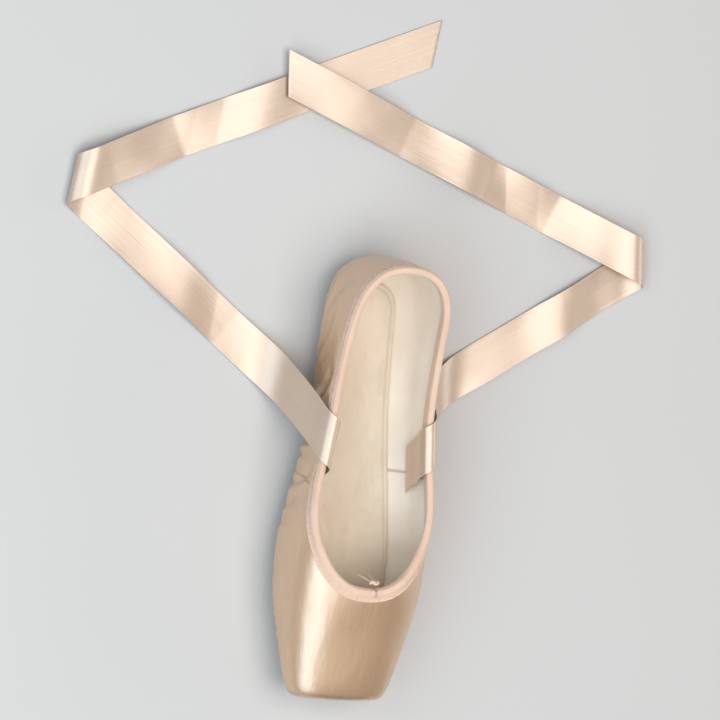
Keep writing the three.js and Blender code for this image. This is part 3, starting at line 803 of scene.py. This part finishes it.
def ribbon_lift(s, part, side, fold):
    """How far the ribbon stands off the floor: first one edge and then the other curls up, with
    small buckles between, and it lies flat at its fold and where it crosses the other ribbon."""
    free = smoothstep(75, 115, s) * (1 - np.exp(-((s - fold) / 30) ** 2))
    free = free * (1 - smoothstep(300, 345, s) * (side < 0))
    tilt = np.sin(s / 19.0 + 0.8 * side + 1.1 * np.sin(s / 47.0))
    curl = 2.6 * np.abs(tilt) * np.clip(0.5 + part * np.sign(tilt), 0, 1) ** 1.5
    buckle = 0.5 + 0.5 * np.sin(s / 8.3 + 2.6 * part + 1.7 * np.sin(s / 31.0))
    small = 0.5 + 0.5 * np.sin(s / 3.9 - 3.0 * part + 1.3 * np.sin(s / 17.0 + 1.0))
    return free * (curl + 0.5 * buckle * (0.3 + 2.4 * part ** 2) + 0.06 * small)


def sew_ribbon_end(name, p, normal, uv, thread):
    """Overcast stitches that hold the ribbon's end to the lining, along both edges and its foot."""
    n = p.shape[1]
    length = uv[:, n // 2, 0]
    marks, turns = [], []
    for j, lean in ((2, 0.35), (n - 3, -0.35)):
        rows = np.searchsorted(length, np.arange(1.0, 19.0, 2.1) + uv[0, n // 2, 0])
        marks += [(i, j) for i in rows]
        turns += [lean] * len(rows)
    foot = [(1, j) for j in range(3, n - 3, 2)]
    i, j = np.array(marks + foot).T
    across = unit(p[i, j + 1] - p[i, j - 1])
    ahead = unit(p[i + 1, j] - p[i, j])
    turn = np.array(turns + [0.0] * len(foot))[:, None]
    edge = across + ahead * turn
    edge[len(marks):] = (ahead + 0.3 * across)[len(marks):]
    out = normal[i, j]
    stitch_run(name + "_stitches", p[i, j] + out * (RIBBON_HALF + 0.02), edge, out, 2.1, 0.19,
               thread)


def make_ribbons(thread):
    """Each is its middle sheet with its lift, half a ribbon's thickness out to either side."""
    satin = ribbon_finish()
    for name, (side, slant, run) in RIBBON_RUNS.items():
        p, normal, uv, fold = ribbon_sheet(side, slant, run, 420, 19)
        sew_ribbon_end(name, p, normal, uv, thread)
        lift = ribbon_lift(uv[..., 0], uv[..., 1] / RIBBON_WIDTH - 0.5, side, fold)
        p = p + np.array([0, 0, 1]) * lift[..., None]
        front, back = p + normal * RIBBON_HALF, p - normal * RIBBON_HALF
        grid = np.concatenate([front, back[:, ::-1]], 1)
        both = np.concatenate([uv, uv[:, ::-1]], 1)
        piece = surface(name + "_satin", to_frame(grid), ring=True, caps=True, uv=both)
        finish_piece(piece, [satin], [name])


def chance(number, salt):
    """An even spread of values from 0 to 1, the same each time for the same whole number."""
    return np.modf(np.abs(np.sin(number * 12.9898 + salt * 78.233)) * 437.585)[0]


def crease_relief(p):
    """Troughs between low ridges: minus a bell of the distance from each crease's bowed line in
    side view, plus a weaker one to each side, all fading towards the crease's ends."""
    relief = np.zeros(p.shape[:2])
    for row in CREASES:
        crease = dict(zip(CREASE_COLUMNS, row))
        start = np.array([crease["from_x"], crease["from_z"]])
        way = np.array([crease["to_x"], crease["to_z"]]) - start
        at = p[..., [0, 2]] - start
        t = (at @ way) / (way @ way)
        bow = crease["bow"] * np.sin(np.pi * np.clip(t, 0, 1))
        off = (at[..., 0] * way[1] - at[..., 1] * way[0]) / np.linalg.norm(way) - bow
        ends = smoothstep(-0.15, 0.3, t) * (1 - smoothstep(0.6, 1.15, t))
        here = smoothstep(2, 12, p[..., 1] * crease["side"])
        w = crease["breadth"] * (0.7 + 0.6 * np.clip(t, 0, 1))
        trough = np.exp(-np.abs(off / w) ** 1.6)
        ridge = np.exp(-((off - 1.7 * w) / (1.1 * w)) ** 2)
        other = np.exp(-((off + 2.1 * w) / (1.2 * w)) ** 2)
        relief += crease["deep"] * (0.7 * ridge + 0.35 * other - trough) * ends * here
    return relief


def pleat_relief(p, from_sole, turn):
    """Folds that leave the outsole's edge, each a slope up and a sharp step down along the way
    walked round the sole; their depth and length differ from fold to fold."""
    beyond = np.maximum(from_sole - SOLE_OVERLAP, 0)
    toe = smoothstep(146, 172, p[..., 0])
    heel = 1 - smoothstep(16, 36, p[..., 0])
    wander = 0.4 * np.sin(turn / 9.1) + 0.22 * np.sin(turn / 5.3 + 1.0)
    phase = turn / 5.2 + wander + 0.022 * beyond
    fold = np.floor(phase)
    part = phase - fold
    slope = part ** 1.2 * (1 - smoothstep(0.80, 1.0, part))
    deep = 0.7 + 0.6 * chance(fold, 1)
    front = smoothstep(186, 204, p[..., 0])
    long = (15.0 + 7.0 * front) * (0.7 + 0.9 * chance(fold, 2))
    fade = np.exp(-(beyond / long) ** 2)
    small = np.exp(-(beyond / (0.6 * long)) ** 2)
    return (slope - 0.85) * deep * (1.9 * toe * fade + 1.3 * heel * small)


def gather_relief(p, from_rim, along):
    """Fine puckers just under the binding where the drawstring draws the satin in."""
    slack = 1 - smoothstep(118, 150, p[..., 0])
    wave = np.sin(along / 0.82 + 1.9 * np.sin(along / 9.0) + 0.05 * from_rim * np.sin(along / 13.0))
    wave = wave * (0.6 + 0.4 * np.sin(along / 7.7))
    return 0.19 * slack * wave * np.exp(-((from_rim - 6.0) / 6.5) ** 2)


def slack_relief(p):
    """The satin's own unevenness: slow waves on the quarters and fainter ones over the box."""
    x, y, z = p[..., 0], p[..., 1], p[..., 2]
    slack = 1 - smoothstep(140, 178, x)
    wave = 0.20 * np.sin(x / 7.3 + 1.3 * np.sin(z / 6.1) + y / 19.0)
    wave += 0.15 * np.sin(z / 3.9 + x / 12.5 + 0.7 * np.sin(x / 5.2))
    wave += 0.10 * np.sin(x / 3.1 + z / 4.7 + 1.4 * np.sin(z / 8.0 + y / 30.0))
    firm = 0.05 * np.sin(x / 6.7 + 0.9 * np.sin(y / 7.9)) + 0.05 * np.sin(y / 4.3 + x / 17.0)
    return slack * wave + (1 - slack) * firm


def make_upper(way):
    """The satin outside follows the last with pleats and creases; the lining is its wall's inner
    face. Both are one closed shell, open at the collar and under the foot."""
    lines = both_sides(resample(profiles(way), 122, 14.0))
    normal = outward(lines)
    from_sole = walked(lines)
    from_rim = from_sole[:, -1:] - from_sole
    foot = lines[:, np.argmin(np.abs(from_sole.mean(0) - SOLE_OVERLAP))]
    turn = walked_round(foot)
    along = walked_round(lines[:, -1])
    relief = crease_relief(lines) + pleat_relief(lines, from_sole, turn)
    relief += gather_relief(lines, from_rim, along) + slack_relief(lines)
    relief *= smoothstep(0, 6, from_rim) * smoothstep(3, 7, from_sole)
    outside = lines + normal * relief[..., None]
    outside[..., 2] = np.maximum(outside[..., 2], SATIN_LOWEST)
    rows = np.unique(np.round(np.linspace(0, lines.shape[1] - 1, 30)).astype(int))
    inside = (lines - normal * wall_at(lines[..., 0])[..., None])[:, rows][:, ::-1]
    grid = np.concatenate([outside, inside], 1)
    slots = np.zeros(grid.shape[1], int)
    slots[outside.shape[1] - 1:] = 1
    piece = surface("satin_upper", to_frame(grid), ring=True, loop=True, slots=slots)
    finish_piece(piece, [satin_finish(), lining_finish()], ["upper"])


def near_rim(lines, down, out):
    """Points near the topline: down the wall (or up past it when negative) and out from it. Each
    line's marks are shifted past the last one's, so that one interpolation serves them all."""
    backwards = lines[:, ::-1]
    up = unit(lines[:, -1] - lines[:, -2])
    shift = 500.0 * np.arange(len(lines))[:, None]
    want = (np.maximum(down, 0) + shift).ravel()
    have = (walked(backwards) + shift).ravel()
    p = np.stack([np.interp(want, have, backwards[..., i].ravel()) for i in range(3)], -1)
    p = p.reshape(len(lines), -1, 3)
    return p + up[:, None] * np.maximum(-down, 0)[..., None] + outward(p) * out[..., None]


def make_binding(way):
    """Tape folded over the topline: an upside-down U whose outer leg swells over the drawstring and
    is nipped in by its stitching."""
    lines = both_sides(resample(profiles(way), 120, 0.0))
    wall = wall_at(lines[:, -1, 0])[:, None]
    along = walked_round(lines[:, -1])
    pucker = 0.13 * np.sin(along / 0.62 + 1.6 * np.sin(along / 7.0))
    pucker = pucker + 0.10 * np.sin(along / 1.4 + 1.1 * np.sin(along / 11.0))
    drop = np.array([6.0, 5.85, 5.5, 5.1, 4.7, 4.2, 3.6, 3.0, 2.4, 1.8, 1.2, 0.6, 0.0])
    leg = TAPE_FAR + TAPE_SWELL * np.exp(-((drop - 1.6) / 1.25) ** 2)
    leg -= TAPE_NIP * np.exp(-((drop - 4.7) / 0.5) ** 2)
    leg[0] -= 0.3
    outer = leg[None] + pucker * np.exp(-((drop - 3.4) / 2.2) ** 2)[None]
    outer -= 0.35 * np.exp(-((along - TAPE_JOIN) / 0.7) ** 2) * np.exp(-((drop - 2.4) / 2.0) ** 2)
    turn = np.linspace(0, np.pi, 13)[1:-1]
    reach_in = -wall - TAPE_FAR
    arch_out = (leg[-1] + reach_in) / 2 + (leg[-1] - reach_in) / 2 * np.cos(turn)[None]
    nick = np.exp(-((along - TAPE_JOIN) / 0.9) ** 2)
    rise = (0.95 + 0.35 * np.abs(np.sin(along / 60.0))) * (1 - 0.8 * nick)
    arch_down = -rise * np.sin(turn)[None] ** 0.8
    back_drop = np.array([0.0, 1.2, 2.4, 3.6, 4.8, 5.7, 6.0])[None]
    back = reach_in - 0.12 * np.exp(-((back_drop - 1.7) / 1.5) ** 2)
    inner = -wall - TAPE_NEAR + 0 * back_drop
    under_turn = np.linspace(np.pi, 0, 5)[1:-1]
    under_out = -wall / 2 + (wall + 2 * TAPE_NEAR) / 2 * np.cos(under_turn)[None]
    under_down = 0 * along - 0.35 * np.sin(under_turn)[None]
    front_drop = np.array([0.0, 2.0, 4.0, 5.9])
    ones = np.ones_like(along)
    downs = np.concatenate([ones * drop, arch_down, ones * back_drop, ones * back_drop[:, ::-1],
                            under_down, ones * front_drop], 1)
    front = TAPE_NEAR + 0 * ones * front_drop
    outs = np.concatenate([outer, arch_out, back, inner, under_out, front], 1)
    grid = near_rim(lines, downs, outs)
    across = walked(grid[:1])[0]
    uv = np.stack(np.broadcast_arrays(along, across[None]), -1)
    piece = surface("binding_tape_fold", to_frame(grid), ring=True, loop=True, uv=uv)
    finish_piece(piece, [tape_finish()], ["binding"])
    return lines, along[:, 0], leg


def stitch_run(name, places, along, outs, length, radius, material):
    """One small thread capsule at each place: an ellipse-ended tube, all joined in one mesh."""
    turn = np.linspace(0, 2 * np.pi, 7)[:-1]
    t = np.linspace(-1, 1, 7)
    girth = radius * np.sqrt(1 - t ** 6)
    dip = radius * (1.2 - 2.2 * t ** 2)
    along = unit(along)
    side = unit(np.cross(outs, along))
    spine = places[:, None] + along[:, None] * (t * length / 2)[:, None]
    spine = spine + outs[:, None] * dip[:, None]
    ring = outs[:, None, None] * np.cos(turn)[:, None]
    ring = ring + side[:, None, None] * np.sin(turn)[:, None]
    grid = spine[:, :, None] + ring * girth[:, None, None]
    count, rings, points = grid.shape[:3]
    index = np.arange(count * rings * points).reshape(count, rings, points)
    a, b = index[:, :-1], index[:, 1:]
    quads = np.stack([a, b, np.roll(b, -1, 2), np.roll(a, -1, 2)], -1).reshape(-1, 4)
    mesh = bpy.data.meshes.new(name)
    mesh.from_pydata(to_frame(grid.reshape(-1, 3)).tolist(), [], quads.tolist())
    mesh.shade_smooth()
    finish_piece(weld(place(name, mesh), 1e-7), [material])


def make_binding_stitches(lines, along, leg, thread):
    """A run of stitches at even steps round the tape's outer leg, on the line that they nip in."""
    count = int(along[-1] / TAPE_STITCH_PITCH)
    want = np.linspace(0, along[-1], count, endpoint=False)
    down = np.full((len(lines), 1), TAPE_STITCH_DROP)
    out = np.full((len(lines), 1), leg[4] + 0.02)   # just over the nip
    path = near_rim(lines, down, out)[:, 0]
    normal = outward(path)
    at = np.stack([np.interp(want, along, path[:, i]) for i in range(3)], -1)
    n = unit(np.stack([np.interp(want, along, normal[:, i]) for i in range(3)], -1))
    ahead = np.roll(at, -1, 0) - np.roll(at, 1, 0)
    stitch_run("binding_stitches", at, ahead, n, 1.9, 0.17, thread)


def make_tacks(lines, thread):
    """A few short hand stitches that show through outside, under the binding by each ribbon."""
    down = np.full((len(lines), 1), TACK_DROP)
    path = near_rim(lines, down, 0 * down)[:, 0]
    places, ways = [], []
    for side in (-1, 1):
        for k, x in enumerate(RIBBON_STATION + np.arange(-9.0, 10.0, 2.7)):
            ok = path[:, 1] * side > 0
            i = np.flatnonzero(ok)[np.argmin(np.abs(path[ok, 0] - x))]
            places.append(path[i] + np.array([0, 0, 0.7 * math.sin(3.0 * k + side)]))
            ways.append([0.9, 0, 0.5 * math.sin(5.0 * k)])
    places = np.array(places)
    n = outward(places)
    stitch_run("ribbon_tacks", places + n * 0.12, np.array(ways), n, 1.7, 0.16, thread)


def pad(name, sections, inward):
    """A closed pad from its left half's sections. Its UV is how far inward each point lies."""
    inward = np.concatenate([inward, inward[1:-1][::-1]])
    uv = np.stack([inward, 0 * inward], -1)
    return weld(surface(name, to_frame(both_sides(sections)), loop=True, uv=uv))


def make_insole(way):
    """Sock: a thin dished pad whose edge follows the turn of the upper, slightly crowned."""
    def lift(p):
        return underside(p[..., 0], p[..., 1]) + wall_at(p[..., 0]) * 1.08 + INSOLE_GAP

    def fits(r):
        p = in_plane(way, r, 0)
        x, y = p[..., 0], p[..., 1]
        return (fullness(x, y, widest(x)) < 0.95) & (underside(x, y) < under(x) + INSOLE_DISH)

    rim = last_true(5 + 0 * way, 120, fits) - 1.0
    part = np.concatenate([np.linspace(0, 0.92, 24), [0.95, 0.975, 0.992, 1.0]])
    p = in_plane(way[:, None], rim[:, None] * part[None], 0)
    base = lift(p)
    edge = np.sqrt(1 - np.clip((part - 0.95) / 0.05, 0, 1) ** 2)
    top = p.copy()
    top[..., 2] = base + INSOLE_THICK * (0.25 + 0.75 * edge[None])
    low = p[:, ::-1].copy()
    low[..., 2] = base[:, ::-1]
    inward = rim[:, None] * (1 - part[None])
    inward = np.concatenate([inward, inward[:, ::-1]], 1)
    piece = pad("sock_insole", np.concatenate([top, low], 1), inward)
    finish_piece(piece, [sock_finish()], ["insole"])


def make_outsole(way):
    """Leather sole: top follows the last's underside, the underside lies flat under heel and ball,
    and the edge is skived to a soft bevel with a groove drawn just inside it."""
    def fits(r):
        p = in_plane(way, r, 0)
        return on_sole(p[..., 0], p[..., 1], 0)

    rim = last_true(0 * way, 120, fits)
    top_part = np.concatenate([np.linspace(0, 0.9, 20), [0.94, 0.97, 1.0]])
    p = in_plane(way[:, None], rim[:, None] * top_part[None], 0)
    p[..., 2] = underside(p[..., 0], p[..., 1]) - SOLE_GAP
    inset, rise = columns(SOLE_EDGE, SOLE_EDGE_COLUMNS).values()
    edge = in_plane(way[:, None], rim[:, None] - inset[None], 0)
    under_z = np.maximum(0, underside(edge[..., 0], edge[..., 1]) - SOLE_GAP - SOLE_THICK)
    edge[..., 2] = under_z + rise[None]
    part = np.linspace(1, 0, 20)[1:]
    floor = in_plane(way[:, None], (rim - inset[-1])[:, None] * part[None], 0)
    base = underside(floor[..., 0], floor[..., 1]) - SOLE_GAP - SOLE_THICK
    floor[..., 2] = np.maximum(0, base)
    inward = np.concatenate([rim[:, None] * (1 - top_part), 0 * rim[:, None] + inset,
                             rim[:, None] - (rim - inset[-1])[:, None] * part[None]], 1)
    piece = pad("leather_outsole", np.concatenate([p, edge, floor], 1), inward)
    finish_piece(piece, [leather_finish()], ["outsole"])


def tube(path, radius, sides=10):
    """Points of a round tube along path: circles square to the path, closed by small ends."""
    ahead = unit(np.gradient(path, axis=0))
    side = unit(np.cross(ahead, np.array([0.31, 0.17, 0.93])))
    up = np.cross(side, ahead)
    turn = np.linspace(0, 2 * np.pi, sides, endpoint=False)
    ring = side[:, None] * np.cos(turn)[:, None] + up[:, None] * np.sin(turn)[:, None]
    n = len(path)
    girth = radius * np.sqrt(np.clip(1 - np.abs(np.linspace(-1, 1, n)) ** 40, 0.02, 1))
    return path[:, None] + ring * girth[:, None, None]


def make_drawstring():
    """Overhand knot behind the binding at the throat, a trefoil curve opened at one end, and two
    short hanging ends."""
    centre = np.array(KNOT)
    t = np.linspace(0.42, 2 * np.pi - 0.42, 90)
    loop = np.stack([
        -np.sin(3 * t) * 0.62,
        (np.sin(t) + 2 * np.sin(2 * t)) * 0.80,
        (np.cos(t) - 2 * np.cos(2 * t)) * 0.52,
    ], -1) + centre
    parts = [tube(loop, CORD_RADIUS + 0.02)]
    s = np.linspace(0, 1, 30)
    for aside, fall in zip(*columns(CORD_ENDS, CORD_ENDS_COLUMNS).values()):
        y = centre[1] + aside + 2.4 * s ** 2 * np.sign(aside)
        end = np.stack([centre[0] - 1.6 * s, y, centre[2] - fall * s], -1)
        parts.append(tube(end, CORD_RADIUS))
    pieces = [surface(f"cord_{i}", to_frame(p), ring=True, caps=True)
              for i, p in enumerate(parts)]
    knot = pieces[0]
    with bpy.context.temp_override(active_object=knot, object=knot,
                                   selected_editable_objects=pieces):
        bpy.ops.object.join()
    knot.name = "drawstring_knot"
    finish_piece(knot, [cord_finish()], ["drawstring"])


place_camera()
light_studio()
lay_floor()
thread = thread_finish()
make_ribbons(thread)
make_upper(choose_ways(301, toe_share=1.7))
rim_lines, rim_along, rim_leg = make_binding(choose_ways(401))
make_binding_stitches(rim_lines, rim_along, rim_leg, thread)
make_tacks(rim_lines, thread)
make_insole(choose_ways(121))
make_outsole(choose_ways(161))
make_drawstring()
